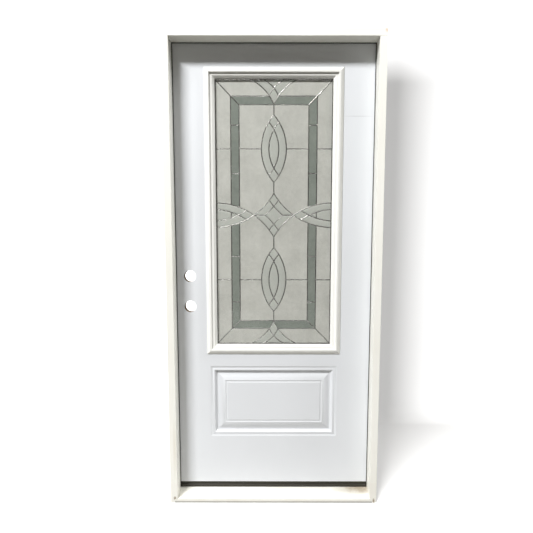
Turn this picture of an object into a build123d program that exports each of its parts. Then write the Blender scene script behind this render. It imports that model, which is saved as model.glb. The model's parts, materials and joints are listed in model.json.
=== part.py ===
"""A glazed front door in its frame, built piece by piece the way a door shop hangs one.

The frame stands on its sill. X runs along the wall, to the right when the door is seen from outside,
Y runs into the house and Z runs up. The origin is at the middle of the sill's underside, in the plane
of the jambs' outer edges. The leaf swings into the house on three hinges at the right.
All sizes are in millimetres.
"""

import os

from build123d import *

# The leaf: a nominal 36 by 79 inch slab.
leaf_width = 908.0
leaf_height = 2006.6
leaf_thickness = 44.45
leaf_gap = 5.0
lock_edge_bevel = 2.3
skin_thickness = 2.0
stile_width = 36.0
top_rail_height = 45.0
bottom_rail_height = 60.0

# The frame: rabbeted jambs under a head that runs over them, on a sloped sill.
jamb_depth = 133.35
jamb_thickness = 19.05
stop_projection = 12.7
seal_space = 4.6
jamb_foot_height = 97.0
sill_lip_height = 18.0
sill_deck_height = 38.0
sill_sheet = 2.4
sill_cap_height = 16.0
sill_cap_setback = 1.6
sill_cap_depth = 40.0
sill_cap_chamfer = 3.0
leaf_above_cap = 11.35

# Seals.
seal_clearance = 0.3
seal_overhang = 3.4
seal_width = 14.0
seal_chamfer_share = 0.35
sweep_base = 4.5
sweep_fin = 2.4
sweep_fin_count = 3
sweep_setback = 1.5
sweep_clearance = 0.5
sweep_end_gap = 3.0

# Hinges: three heavy butt hinges with three knuckles each.
hinge_height = 101.6
hinge_leaf_width = 31.75
hinge_leaf_thickness = 2.3
hinge_top_drop = 177.8
hinge_bottom_rise = 279.4
knuckle_radius = 6.35
knuckle_count = 3
knuckle_gap = 0.5
pin_radius = 3.0
pin_clearance = 0.2
pin_head_radius = 5.2
pin_head_height = 3.0
pin_stand_off = 7.0

# Lock preparation: two cross bores, with a latch bore from the edge to each.
backset = 69.85
bore_radius = 26.99
bore_spacing = 139.7
lockset_height = 844.5
latch_bore_radius = 12.7
lock_block_width = 92.0
lock_block_height = 380.0
strike_length = 57.0
strike_width = 28.6
strike_recess = 1.6
strike_pocket_length = 25.4
strike_pocket_width = 16.0
strike_pocket_depth = 14.0

# The glazed opening and its frames: a nominal 22 by 48 inch sealed unit between two clamped frames.
glass_width = 558.8
glass_height = 1219.2
glass_unit_thickness = 25.4
glass_edge_clearance = 6.6
lite_frame_clearance = 2.0
lite_frame_lap = 28.6
lite_drop = 108.0
pane_thickness = 3.2
spacer_width = 12.0
lite_face_width = 46.0
lite_bevel_width = 15.0
lite_outer_lip = 2.2
lite_face_height = 11.0
lite_step_start = 22.0
lite_step_end = 26.0
lite_step_height = 7.0
lite_slope_start = 35.0
lite_slope_drop = 5.0

# The leaded panel: a border band, two lenses, a star with two fishes, and a fan at each end.
came_width = 5.0
came_thickness = 5.0
leaded_glass_thickness = 3.2
edge_came_width = 9.5
band_margin_x = 69.0
band_margin_z = 71.0
band_width = 37.5
tick_low_z = 186.0
tick_high_margin = 87.0
lens_half_width = 56.0
lens_margin = 43.5
lens_star_gap = 48.5
lens_inner_half_width = 22.0
lens_inner_end_margin = 30.5
star_half_width = 90.0
star_half_height = 98.0
star_core = 39.8
star_core_end_x = 20.5
fish_outer_z = 55.0
fish_inner_z = 26.0
fish_tip_margin = 5.0
fish_end_margin = 34.0
fan_outer_x = 106.0
fan_inner_x = 51.0
fan_corner_x = 20.0
fan_cross_drop = 37.0

# The embossed panel below the glass.
panel_width = 586.0
panel_height = 330.0
panel_drop = 58.0
bead_width = 4.0
bead_depth = 1.6
cove_start = 13.0
cove_end = 24.0
emboss_depth = 11.0
slope_start = 28.0
slope_end = 60.0
slope_top_depth = 2.2
field_start = 64.0
field_depth = 0.8

# Places worked out from the sizes above.
leaf_half = leaf_width / 2
rabbet_x = leaf_half + leaf_gap
outer_x = rabbet_x + jamb_thickness
stop_x = rabbet_x - stop_projection
inside_y = jamb_depth
leaf_face_y = inside_y - leaf_thickness
leaf_middle_y = inside_y - leaf_thickness / 2
stop_depth = leaf_face_y - seal_space
leaf_bottom = sill_deck_height + sill_cap_height + leaf_above_cap
leaf_top = leaf_bottom + leaf_height
leaf_middle_z = leaf_bottom + leaf_height / 2
head_rabbet_z = leaf_top + leaf_gap
head_stop_z = head_rabbet_z - stop_projection
frame_top = head_rabbet_z + jamb_thickness
cap_front_y = stop_depth + sill_cap_setback
cap_top = sill_deck_height + sill_cap_height
core_front_y = leaf_face_y + skin_thickness
core_depth = leaf_thickness - 2 * skin_thickness
stile_inner_x = leaf_half - stile_width
lite_width = glass_width + 2 * lite_frame_lap
lite_height = glass_height + 2 * lite_frame_lap
lite_middle_z = leaf_top - lite_drop - lite_height / 2
cutout_width = glass_width + 2 * glass_edge_clearance
cutout_height = glass_height + 2 * glass_edge_clearance
cutout_margin = lite_frame_lap - glass_edge_clearance
panel_top = leaf_top - lite_drop - lite_height - panel_drop
panel_middle_z = panel_top - panel_height / 2
bore_x = -leaf_half + backset
deadbolt_height = lockset_height + bore_spacing
lockset_z = leaf_bottom + lockset_height
deadbolt_z = leaf_bottom + deadbolt_height
bore_heights = (lockset_z, deadbolt_z)
pin_x = (leaf_half + rabbet_x) / 2
pin_y = inside_y + pin_stand_off
top_hinge_z = leaf_top - hinge_top_drop - hinge_height / 2
bottom_hinge_z = leaf_bottom + hinge_bottom_rise + hinge_height / 2
hinge_heights = (top_hinge_z, (top_hinge_z + bottom_hinge_z) / 2, bottom_hinge_z)
knuckle_pitch = hinge_height / knuckle_count
glass_front_depth = (leaf_thickness - glass_unit_thickness) / 2
leaded_half_width = glass_width / 2 - spacer_width
leaded_half_height = glass_height / 2 - spacer_width
sight_half_width = lite_width / 2 - lite_face_width
sight_half_height = lite_height / 2 - lite_face_width
band_outer_x = sight_half_width - band_margin_x
band_outer_z = sight_half_height - band_margin_z
band_inner_x = band_outer_x - band_width
band_inner_z = band_outer_z - band_width
lens_top_z = band_inner_z - lens_margin
lens_bottom_z = star_half_height + lens_star_gap
lens_middle_z = (lens_top_z + lens_bottom_z) / 2
lens_inner_half_height = (lens_top_z - lens_bottom_z) / 2 - lens_inner_end_margin

os.makedirs("parts", exist_ok=True)


def save(part, name):
    """Label a finished piece and write it as its own file."""
    part.label = name
    export_step(part, f"parts/{name}.step")


def outside_plane(y):
    """A plane that looks out of the house, with its own x along X and its own y along Z."""
    return Plane(origin=(0, y, 0), x_dir=(1, 0, 0), z_dir=(0, -1, 0))


def inside_plane(y):
    """A plane that looks into the house, with its own x along -X and its own y along Z."""
    return Plane(origin=(0, y, 0), x_dir=(-1, 0, 0), z_dir=(0, 1, 0))


def section_plane(x):
    """A plane across the opening, with its own x along Y and its own y along Z."""
    return Plane(origin=(x, 0, 0), x_dir=(0, 1, 0), z_dir=(1, 0, 0))


def carry_round(face, width, height, middle_z, outline):
    """Carry an outline round a rectangle on a face, with mitred corners.

    The outline's first number runs inwards from the rectangle, the second out of the face.
    A quarter of the ring is swept round one corner, and mirrored to both sides and then upwards.
    """
    with BuildLine(face) as path:
        Polyline(
            (0, middle_z - height / 2),
            (width / 2, middle_z - height / 2),
            (width / 2, middle_z),
        )
    start = Plane(origin=path.line @ 0, x_dir=(0, 0, 1), z_dir=path.line % 0)
    with BuildPart() as ring:
        with BuildSketch(start):
            with BuildLine():
                Polyline(*outline, close=True)
            make_face()
        sweep(path=path.line, transition=Transition.RIGHT)
        mirror(about=Plane.YZ)
        mirror(about=Plane.XY.offset(middle_z))
    return ring.part


# Sill

def deck_line(drop):
    """The sill's upper outline from front to back, lowered by a sheet's thickness."""
    return [
        (drop, sill_lip_height - drop),
        (cap_front_y, sill_deck_height - drop),
        (inside_y, sill_deck_height - drop),
    ]


with BuildPart() as sill_base:
    with BuildSketch(section_plane(-rabbet_x)):
        with BuildLine():
            Polyline((sill_sheet, 0), *deck_line(sill_sheet), (inside_y, 0), close=True)
        make_face()
    extrude(amount=2 * rabbet_x)
save(sill_base.part, "sill_base")

with BuildPart() as sill_deck:
    with BuildSketch(section_plane(-rabbet_x)):
        with BuildLine():
            Polyline((0, 0), *deck_line(0), *reversed(deck_line(sill_sheet)), (sill_sheet, 0), close=True)
        make_face()
    extrude(amount=2 * rabbet_x)
save(sill_deck.part, "sill_deck")

with BuildPart() as sill_cap:
    with BuildSketch(section_plane(-rabbet_x)) as cap_section:
        with Locations((cap_front_y + sill_cap_depth / 2, sill_deck_height + sill_cap_height / 2)):
            Rectangle(sill_cap_depth, sill_cap_height)
        chamfer(cap_section.vertices().group_by(Axis.Z)[-1], sill_cap_chamfer)
    extrude(amount=2 * rabbet_x)
save(sill_cap.part, "sill_cap")


# Jambs and head

def jamb_section(side):
    """The rabbeted section of a side jamb: side is 1 on the right and -1 on the left."""
    with BuildSketch() as section:
        with BuildLine():
            Polyline(
                (side * outer_x, 0),
                (side * stop_x, 0),
                (side * stop_x, stop_depth),
                (side * rabbet_x, stop_depth),
                (side * rabbet_x, inside_y),
                (side * outer_x, inside_y),
                close=True,
            )
        make_face()
    return section.sketch


def jamb(side):
    """A side jamb, from its foot up to the head, coped under the head's stop."""
    with BuildPart() as post:
        with BuildSketch(Plane.XY.offset(jamb_foot_height)):
            add(jamb_section(side))
        extrude(amount=head_stop_z - jamb_foot_height)
        with BuildSketch(Plane.XY.offset(head_stop_z)):
            with Locations((side * (rabbet_x + jamb_thickness / 2), (stop_depth + inside_y) / 2)):
                Rectangle(jamb_thickness, inside_y - stop_depth)
        extrude(amount=stop_projection)
    return post


def jamb_foot(side):
    """The rot-proof foot of a side jamb, cut to stand over the sloped sill."""
    with BuildPart() as foot:
        with BuildSketch():
            add(jamb_section(side))
        extrude(amount=jamb_foot_height)
        with BuildSketch(section_plane(-rabbet_x)):
            with BuildLine():
                Polyline((0, 0), *deck_line(0), (inside_y, 0), close=True)
            make_face()
        extrude(amount=2 * rabbet_x, mode=Mode.SUBTRACT)
    return foot


save(jamb_foot(1).part, "hinge_jamb_foot")
save(jamb_foot(-1).part, "latch_jamb_foot")


def cut_hinge_mortises(face_x):
    """Cut a flush mortise for each hinge leaf into the piece that is being built."""
    for height in hinge_heights:
        with Locations((face_x + hinge_leaf_thickness / 2, inside_y - hinge_leaf_width / 2, height)):
            Box(hinge_leaf_thickness, hinge_leaf_width, hinge_height, mode=Mode.SUBTRACT)


with BuildPart() as hinge_jamb:
    add(jamb(1).part)
    cut_hinge_mortises(rabbet_x)
save(hinge_jamb.part, "hinge_jamb")

with BuildPart() as latch_jamb:
    add(jamb(-1).part)
    for height in bore_heights:
        with Locations((-rabbet_x - strike_recess / 2, leaf_middle_y, height)):
            Box(strike_recess, strike_width, strike_length, mode=Mode.SUBTRACT)
        with Locations((-rabbet_x - strike_pocket_depth / 2, leaf_middle_y, height)):
            Box(strike_pocket_depth, strike_pocket_width, strike_pocket_length, mode=Mode.SUBTRACT)
save(latch_jamb.part, "latch_jamb")

with BuildPart() as head_jamb:
    with BuildSketch(section_plane(-outer_x)):
        with BuildLine():
            Polyline(
                (0, frame_top),
                (0, head_stop_z),
                (stop_depth, head_stop_z),
                (stop_depth, head_rabbet_z),
                (inside_y, head_rabbet_z),
                (inside_y, frame_top),
                close=True,
            )
        make_face()
    extrude(amount=2 * outer_x)
save(head_jamb.part, "head_jamb")


# Weatherstrips, seated behind the stops and just clear of the closed leaf

seal_depth = seal_space - seal_clearance
seal_inner_x = stop_x - seal_overhang
seal_inner_z = head_stop_z - seal_overhang
seal_chamfer = seal_depth * seal_chamfer_share


def side_seal(side):
    """A foam strip behind a side stop, whose nose shows past the stop's edge."""
    with BuildPart() as strip:
        with BuildSketch(Plane.XY.offset(cap_top)) as section:
            with Locations((side * (seal_inner_x + seal_width / 2), stop_depth + seal_depth / 2)):
                Rectangle(seal_width, seal_depth)
            nose = section.vertices().sort_by(Axis.X)
            chamfer(nose[:2] if side > 0 else nose[-2:], seal_chamfer)
        extrude(amount=seal_inner_z - cap_top)
    return strip


save(side_seal(1).part, "hinge_weatherstrip")
save(side_seal(-1).part, "latch_weatherstrip")

with BuildPart() as head_weatherstrip:
    with BuildSketch(section_plane(-rabbet_x)) as head_seal_section:
        with Locations((stop_depth + seal_depth / 2, seal_inner_z + seal_width / 2)):
            Rectangle(seal_depth, seal_width)
        chamfer(head_seal_section.vertices().group_by(Axis.Z)[0], seal_chamfer)
    extrude(amount=2 * rabbet_x)
save(head_weatherstrip.part, "head_weatherstrip")


# The leaf's wooden edge, its lock block and its foam

with BuildPart() as lock_stile:
    with BuildSketch(Plane.XY.offset(leaf_bottom)):
        edge_slope = lock_edge_bevel / leaf_thickness
        front_edge = -leaf_half + edge_slope * (inside_y - core_front_y)
        back_edge = -leaf_half + edge_slope * skin_thickness
        with BuildLine():
            Polyline(
                (front_edge, core_front_y),
                (-stile_inner_x, core_front_y),
                (-stile_inner_x, core_front_y + core_depth),
                (back_edge, core_front_y + core_depth),
                close=True,
            )
        make_face()
    extrude(amount=leaf_height)
    for height in bore_heights:
        with Locations(Plane(origin=(-leaf_half + stile_width / 2, leaf_middle_y, height), z_dir=(1, 0, 0))):
            Cylinder(latch_bore_radius, 2 * stile_width, mode=Mode.SUBTRACT)
save(lock_stile.part, "lock_stile")

with BuildPart() as hinge_stile:
    with Locations((leaf_half - stile_width / 2, leaf_middle_y, leaf_middle_z)):
        Box(stile_width, core_depth, leaf_height)
    cut_hinge_mortises(leaf_half - hinge_leaf_thickness)
save(hinge_stile.part, "hinge_stile")

with BuildPart() as top_rail:
    with Locations((0, leaf_middle_y, leaf_top - top_rail_height / 2)):
        Box(2 * stile_inner_x, core_depth, top_rail_height)
save(top_rail.part, "top_rail")

with BuildPart() as bottom_rail:
    with Locations((0, leaf_middle_y, leaf_bottom + bottom_rail_height / 2)):
        Box(2 * stile_inner_x, core_depth, bottom_rail_height)
save(bottom_rail.part, "bottom_rail")

lock_block_middle_x = -stile_inner_x + lock_block_width / 2
lock_block_middle_z = (lockset_z + deadbolt_z) / 2

with BuildPart() as lock_block:
    with Locations((lock_block_middle_x, leaf_middle_y, lock_block_middle_z)):
        Box(lock_block_width, core_depth, lock_block_height)
    for height in bore_heights:
        with Locations(Plane(origin=(bore_x, leaf_middle_y, height), z_dir=(0, 1, 0))):
            Cylinder(bore_radius, 2 * leaf_thickness, mode=Mode.SUBTRACT)
        with Locations(Plane(origin=((bore_x - leaf_half) / 2, leaf_middle_y, height), z_dir=(1, 0, 0))):
            Cylinder(latch_bore_radius, backset, mode=Mode.SUBTRACT)
save(lock_block.part, "lock_block")

# The embossed panel's section: how far in from its outer edge, and how deep.
emboss_line = [
    (0, 0),
    (bead_width, bead_depth),
    (2 * bead_width, field_depth / 2),
    (cove_start, field_depth / 2),
    (cove_end, emboss_depth - bead_depth / 4),
    (slope_start, emboss_depth),
    (slope_end, slope_top_depth),
    (field_start, field_depth),
]


def emboss_outline(start_depth, added_depth):
    """The embossing's closed outline between a flat line and the embossed line set deeper."""
    front = [(inward, -depth - start_depth) for inward, depth in emboss_line]
    back = [(inward, -depth - start_depth - added_depth) for inward, depth in emboss_line]
    return front + back[::-1]


def emboss_pocket_outline():
    """The room that the embossing takes behind the skin's flat back."""
    back = [(inward, -depth - skin_thickness) for inward, depth in emboss_line]
    return back + [(field_start, -skin_thickness)]


def skin(face, bore_side, face_left, face_right):
    """A moulded skin with its cut-outs and the embossed panel, from its outer face inwards."""
    with BuildPart() as sheet:
        with BuildSketch(face):
            with Locations(((face_left + face_right) / 2, leaf_middle_z)):
                Rectangle(face_right - face_left, leaf_height)
            with Locations((0, lite_middle_z)):
                Rectangle(cutout_width, cutout_height, mode=Mode.SUBTRACT)
            with Locations((0, panel_middle_z)):
                Rectangle(panel_width, panel_height, mode=Mode.SUBTRACT)
            with Locations(*[(bore_side * bore_x, height) for height in bore_heights]):
                Circle(bore_radius, mode=Mode.SUBTRACT)
        extrude(amount=-skin_thickness)
        with BuildSketch(face.offset(-field_depth)):
            with Locations((0, panel_middle_z)):
                Rectangle(panel_width - 2 * field_start, panel_height - 2 * field_start)
        extrude(amount=-skin_thickness)
        add(carry_round(face, panel_width, panel_height, panel_middle_z, emboss_outline(0, skin_thickness)))
    return sheet


save(skin(outside_plane(leaf_face_y), 1, -leaf_half + lock_edge_bevel, leaf_half).part, "exterior_skin")

with BuildPart() as interior_skin:
    add(skin(inside_plane(inside_y), -1, -leaf_half, leaf_half).part)
    cut_hinge_mortises(leaf_half - hinge_leaf_thickness)
save(interior_skin.part, "interior_skin")

with BuildPart() as foam_core:
    with BuildSketch(outside_plane(core_front_y)):
        foam_bottom = leaf_bottom + bottom_rail_height
        foam_top = leaf_top - top_rail_height
        with Locations((0, (foam_bottom + foam_top) / 2)):
            Rectangle(2 * stile_inner_x, foam_top - foam_bottom)
        with Locations((0, lite_middle_z)):
            Rectangle(cutout_width, cutout_height, mode=Mode.SUBTRACT)
        with Locations((lock_block_middle_x, lock_block_middle_z)):
            Rectangle(lock_block_width, lock_block_height, mode=Mode.SUBTRACT)
    extrude(amount=-core_depth)
    for face in (outside_plane(leaf_face_y), inside_plane(inside_y)):
        pocket = carry_round(face, panel_width, panel_height, panel_middle_z, emboss_pocket_outline())
        add(pocket, mode=Mode.SUBTRACT)
        with BuildSketch(face.offset(-skin_thickness)):
            with Locations((0, panel_middle_z)):
                Rectangle(panel_width - 2 * field_start, panel_height - 2 * field_start)
        extrude(amount=-field_depth, mode=Mode.SUBTRACT)
save(foam_core.part, "foam_core")


# The glazed opening

lite_outline = [
    (0, 0),
    (0, lite_outer_lip),
    (lite_bevel_width, lite_face_height),
    (lite_step_start, lite_face_height),
    (lite_step_end, lite_step_height),
    (lite_slope_start, lite_step_height),
    (lite_face_width, -lite_slope_drop),
    (lite_face_width, -glass_front_depth),
    (cutout_margin + lite_frame_clearance, -glass_front_depth),
    (cutout_margin + lite_frame_clearance, 0),
]

for name, face in {
    "lite_frame_exterior": outside_plane(leaf_face_y),
    "lite_frame_interior": inside_plane(inside_y),
}.items():
    save(carry_round(face, lite_width, lite_height, lite_middle_z, lite_outline), name)

glass_front_y = leaf_face_y + glass_front_depth
glass_back_y = glass_front_y + glass_unit_thickness
lite_centre = Location((0, lite_middle_z))

with BuildPart() as outer_pane:
    with BuildSketch(outside_plane(glass_front_y)):
        with Locations(lite_centre):
            Rectangle(glass_width, glass_height)
    extrude(amount=-pane_thickness)
save(outer_pane.part, "outer_pane")

with BuildPart() as inner_pane:
    with BuildSketch(inside_plane(glass_back_y)):
        with Locations(lite_centre):
            Rectangle(glass_width, glass_height)
    extrude(amount=-pane_thickness)
save(inner_pane.part, "inner_pane")

with BuildPart() as glass_spacer:
    with BuildSketch(outside_plane(glass_front_y + pane_thickness)):
        with Locations(lite_centre):
            Rectangle(glass_width, glass_height)
            Rectangle(2 * leaded_half_width, 2 * leaded_half_height, mode=Mode.SUBTRACT)
    extrude(amount=-(glass_unit_thickness - 2 * pane_thickness))
save(glass_spacer.part, "glass_spacer")


# The leaded panel. Its curves are drawn on the right, and mirrored to the left and top to bottom.

fish_arc = ((sight_half_width, fish_outer_z), (star_half_width, 0), (0, -star_half_height))
fan_arc = ((fan_outer_x, sight_half_height), (fan_corner_x, band_outer_z), (0, band_inner_z))
fan_inner_arc = (
    (fan_inner_x, sight_half_height),
    (0, sight_half_height - fan_cross_drop),
    (-fan_corner_x, band_outer_z),
)
lens_arc = ((0, lens_top_z), (lens_half_width, lens_middle_z), (0, lens_bottom_z))

with BuildLine():
    fish_curve = ThreePointArc(*fish_arc)
    lens_curve = ThreePointArc(*lens_arc)


def height_on(curve, x):
    """The upper height at x of the circle that an arc lies on, from the pattern's middle."""
    centre = curve.arc_center
    return centre.Y + (curve.radius**2 - (x - centre.X) ** 2) ** 0.5


def lens_line_x(rise):
    """How far the lens's outline stands from the middle line, at a height above the lens's middle."""
    return lens_curve.arc_center.X + (lens_curve.radius**2 - rise**2) ** 0.5


fish_end_x = star_half_width + fish_end_margin
fish_inner_arc = (
    (sight_half_width, fish_inner_z),
    (band_inner_x + fish_tip_margin, 0),
    (fish_end_x, -height_on(fish_curve, fish_end_x)),
)
star_arc = ((star_core, 0), (0, star_core), (-star_core_end_x, -height_on(fish_curve, star_core_end_x)))

with BuildLine():
    fish_inner_curve = ThreePointArc(*fish_inner_arc)

lens_inner_arc = (
    (-lens_line_x(lens_inner_half_height), lens_middle_z + lens_inner_half_height),
    (lens_inner_half_width, lens_middle_z),
    (-lens_line_x(lens_inner_half_height), lens_middle_z - lens_inner_half_height),
)

came_arcs = (fish_arc, fish_inner_arc, star_arc, fan_arc, fan_inner_arc, lens_arc, lens_inner_arc)
came_lines = (
    ((band_outer_x, height_on(fish_curve, band_outer_x)), (band_outer_x, band_outer_z)),
    ((band_outer_x, band_outer_z), (fan_corner_x, band_outer_z)),
    ((band_outer_x, 0), (band_outer_x, height_on(fish_inner_curve, band_outer_x))),
    ((band_inner_x, height_on(fish_curve, band_inner_x)), (band_inner_x, band_inner_z)),
    ((band_inner_x, band_inner_z), (0, band_inner_z)),
    ((sight_half_width, sight_half_height), (band_outer_x, band_outer_z)),
    ((band_outer_x, band_outer_z), (band_inner_x, band_inner_z)),
    ((band_inner_x, tick_low_z), (band_outer_x, tick_low_z)),
    ((band_inner_x, band_inner_z - tick_high_margin), (band_outer_x, band_inner_z - tick_high_margin)),
    ((band_outer_x, lens_middle_z), (sight_half_width, lens_middle_z)),
    ((lens_half_width, lens_middle_z), (band_inner_x, lens_middle_z)),
    ((0, star_half_height), (0, lens_bottom_z)),
    ((0, lens_top_z), (0, band_inner_z)),
    ((star_half_width, 0), (star_core, 0)),
)


def mirror_pattern():
    """Repeat what is drawn so far from right to left, and then from top to bottom."""
    mirror(about=Plane.YZ)
    mirror(about=Plane.XZ)


with BuildSketch() as came_sketch:
    Rectangle(2 * leaded_half_width, 2 * leaded_half_height)
    Rectangle(
        2 * (leaded_half_width - edge_came_width),
        2 * (leaded_half_height - edge_came_width),
        mode=Mode.SUBTRACT,
    )
    for points in came_lines:
        with BuildLine():
            Line(*points)
        trace(line_width=came_width)
    for points in came_arcs:
        with BuildLine():
            ThreePointArc(*points)
        trace(line_width=came_width)
    mirror_pattern()

with BuildSketch() as border_region:
    Rectangle(2 * band_outer_x, 2 * band_outer_z)
    Rectangle(2 * band_inner_x, 2 * band_inner_z, mode=Mode.SUBTRACT)

with BuildSketch() as fish_region:
    with Locations(fish_curve.arc_center):
        Circle(fish_curve.radius)
    with Locations((sight_half_width / 2, fish_outer_z)):
        Rectangle(sight_half_width, 2 * fish_outer_z, mode=Mode.INTERSECT)

with BuildSketch() as star_region:
    with Locations((star_half_width / 2, -star_half_height / 2)):
        Rectangle(star_half_width, star_half_height)
    with Locations(fish_curve.arc_center):
        Circle(fish_curve.radius, mode=Mode.SUBTRACT)

with BuildSketch() as bevel_region:
    add(fish_region.sketch)
    add(star_region.sketch)
    with BuildLine():
        ThreePointArc(*lens_arc)
        Line(lens_arc[2], lens_arc[0])
    make_face()
    with BuildLine():
        ThreePointArc(*fan_arc)
        Polyline(fan_arc[2], (0, sight_half_height), fan_arc[0])
    make_face()
    mirror_pattern()


def leaded_layer(sketch, thickness):
    """Stand a sketch of the pattern up in the middle of the leaf, with the given thickness."""
    with BuildPart() as layer:
        with BuildSketch(outside_plane(leaf_middle_y - thickness / 2)):
            with Locations(lite_centre):
                add(sketch)
        extrude(amount=-thickness)
    return layer.part


with BuildSketch() as field_glass:
    Rectangle(2 * leaded_half_width, 2 * leaded_half_height)
    add(border_region.sketch, mode=Mode.SUBTRACT)
    add(bevel_region.sketch, mode=Mode.SUBTRACT)
    add(came_sketch.sketch, mode=Mode.SUBTRACT)

with BuildSketch() as border_glass:
    add(border_region.sketch)
    add(bevel_region.sketch, mode=Mode.SUBTRACT)
    add(came_sketch.sketch, mode=Mode.SUBTRACT)

with BuildSketch() as bevel_glass:
    add(bevel_region.sketch)
    add(came_sketch.sketch, mode=Mode.SUBTRACT)

save(leaded_layer(came_sketch.sketch, came_thickness), "came_lattice")
save(leaded_layer(field_glass.sketch, leaded_glass_thickness), "field_glass")
save(leaded_layer(border_glass.sketch, leaded_glass_thickness), "border_glass")
save(leaded_layer(bevel_glass.sketch, leaded_glass_thickness), "bevel_glass")


# The sweep under the leaf

sweep_length = leaf_width - lock_edge_bevel - 2 * sweep_end_gap
sweep_front_y = leaf_face_y + sweep_setback
sweep_depth = leaf_thickness - 2 * sweep_setback
fin_height = leaf_above_cap - sweep_clearance
fin_pitch = (sweep_depth - sweep_fin) / (sweep_fin_count - 1)

with BuildPart() as door_sweep:
    with BuildSketch(section_plane((lock_edge_bevel - sweep_length) / 2)):
        with Locations((sweep_front_y + sweep_depth / 2, leaf_bottom - sweep_base / 2)):
            Rectangle(sweep_depth, sweep_base)
        for fin in range(sweep_fin_count):
            with Locations((sweep_front_y + sweep_fin / 2 + fin * fin_pitch, leaf_bottom - fin_height / 2)):
                Rectangle(sweep_fin, fin_height)
    extrude(amount=sweep_length)
save(door_sweep.part, "door_sweep")


# Hinges

def hinge_leaf(height, plate_x, knuckles):
    """A hinge leaf let in flush, with its share of the knuckles rolled round the pin."""
    plate_middle_x = plate_x + hinge_leaf_thickness / 2
    with BuildPart() as leaf:
        with Locations((plate_middle_x, inside_y - hinge_leaf_width / 2, height)):
            Box(hinge_leaf_thickness, hinge_leaf_width, hinge_height)
        for knuckle in knuckles:
            middle_z = height + (knuckle - (knuckle_count - 1) / 2) * knuckle_pitch
            knuckle_length = knuckle_pitch - knuckle_gap
            with Locations((pin_x, pin_y, middle_z)):
                Cylinder(knuckle_radius, knuckle_length)
            with Locations((plate_middle_x, (inside_y + pin_y) / 2, middle_z)):
                Box(hinge_leaf_thickness, pin_stand_off, knuckle_length)
        with Locations((pin_x, pin_y, height)):
            Cylinder(pin_radius + pin_clearance, 2 * hinge_height, mode=Mode.SUBTRACT)
    return leaf.part


def hinge_pin(height):
    """A pin through the knuckles, with a button head on top."""
    with BuildPart() as pin:
        with Locations((pin_x, pin_y, height)):
            Cylinder(pin_radius, hinge_height - knuckle_gap)
        head_z = height + (hinge_height - knuckle_gap) / 2
        with Locations((pin_x, pin_y, head_z + pin_head_height / 2)):
            Cylinder(pin_head_radius, pin_head_height)
        chamfer(pin.edges().filter_by(GeomType.CIRCLE).sort_by(Axis.Z)[-1], pin_head_height / 3)
    return pin.part


frame_knuckles = range(0, knuckle_count, 2)
door_knuckles = range(1, knuckle_count, 2)

with BuildPart() as frame_hinge_leaves:
    for height in hinge_heights:
        add(hinge_leaf(height, rabbet_x, frame_knuckles))
save(frame_hinge_leaves.part, "frame_hinge_leaves")

with BuildPart() as door_hinge_leaves:
    for height in hinge_heights:
        add(hinge_leaf(height, leaf_half - hinge_leaf_thickness, door_knuckles))
save(door_hinge_leaves.part, "door_hinge_leaves")

with BuildPart() as hinge_pins:
    for height in hinge_heights:
        add(hinge_pin(height))
save(hinge_pins.part, "hinge_pins")
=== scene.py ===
# %% [markdown]
# A glazed front door, dressed from its solids
#
# The real object is a door unit as a shop delivers it: a white moulded leaf with leaded glass, hung in a
# cream-white painted frame on a sloped sill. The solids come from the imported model, in metres, with X along
# the wall, Y into the house and Z up. This notebook gives every piece its finish, and makes anew those
# pieces whose surface is finer than the solids show: the mouldings, the cames, the seals and the sweep.

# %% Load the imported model
import json
import math

import bmesh
import bpy
import numpy as np
from mathutils import Matrix, Vector
from mathutils.geometry import delaunay_2d_cdt


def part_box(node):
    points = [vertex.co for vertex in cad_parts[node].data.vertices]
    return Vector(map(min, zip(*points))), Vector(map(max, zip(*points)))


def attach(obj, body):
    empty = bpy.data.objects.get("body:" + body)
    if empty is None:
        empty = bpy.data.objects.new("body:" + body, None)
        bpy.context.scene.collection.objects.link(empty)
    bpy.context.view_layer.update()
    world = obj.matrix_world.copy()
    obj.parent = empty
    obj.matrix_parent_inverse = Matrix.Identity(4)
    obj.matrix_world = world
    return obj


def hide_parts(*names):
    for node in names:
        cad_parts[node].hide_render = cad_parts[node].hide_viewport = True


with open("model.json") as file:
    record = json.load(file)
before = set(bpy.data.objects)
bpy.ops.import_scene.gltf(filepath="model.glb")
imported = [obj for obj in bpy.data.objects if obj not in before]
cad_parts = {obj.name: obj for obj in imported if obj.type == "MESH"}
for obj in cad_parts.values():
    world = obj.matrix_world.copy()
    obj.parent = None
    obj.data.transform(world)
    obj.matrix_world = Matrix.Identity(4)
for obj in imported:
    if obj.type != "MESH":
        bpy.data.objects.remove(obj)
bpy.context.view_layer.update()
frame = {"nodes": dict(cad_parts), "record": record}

nodes = frame["nodes"]
MM = 0.001

# %% [markdown]
# The camera
#
# A photograph's camera can be found from the object's own straight lines, once its sizes are known. Here
# the jambs, the head, the sill, the lite and the bores were fitted together. The camera stands about two
# and a half metres off, at chest height, and looks slightly down. Its focal length is given in pixels of a
# square frame, and the point that it looks through is a little off that frame's middle, which is its shift.

# %% Camera
FRAME_PIXELS = 533
FOCAL_PIXELS = 558.9
CENTRE_PIXEL = Vector((273.8, 311.5))
CAMERA_PLACE = Vector((0.0003, -2.4692, 1.2155))
CAMERA_PITCH = -0.1277
CAMERA_ROLL = 0.0011

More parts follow.
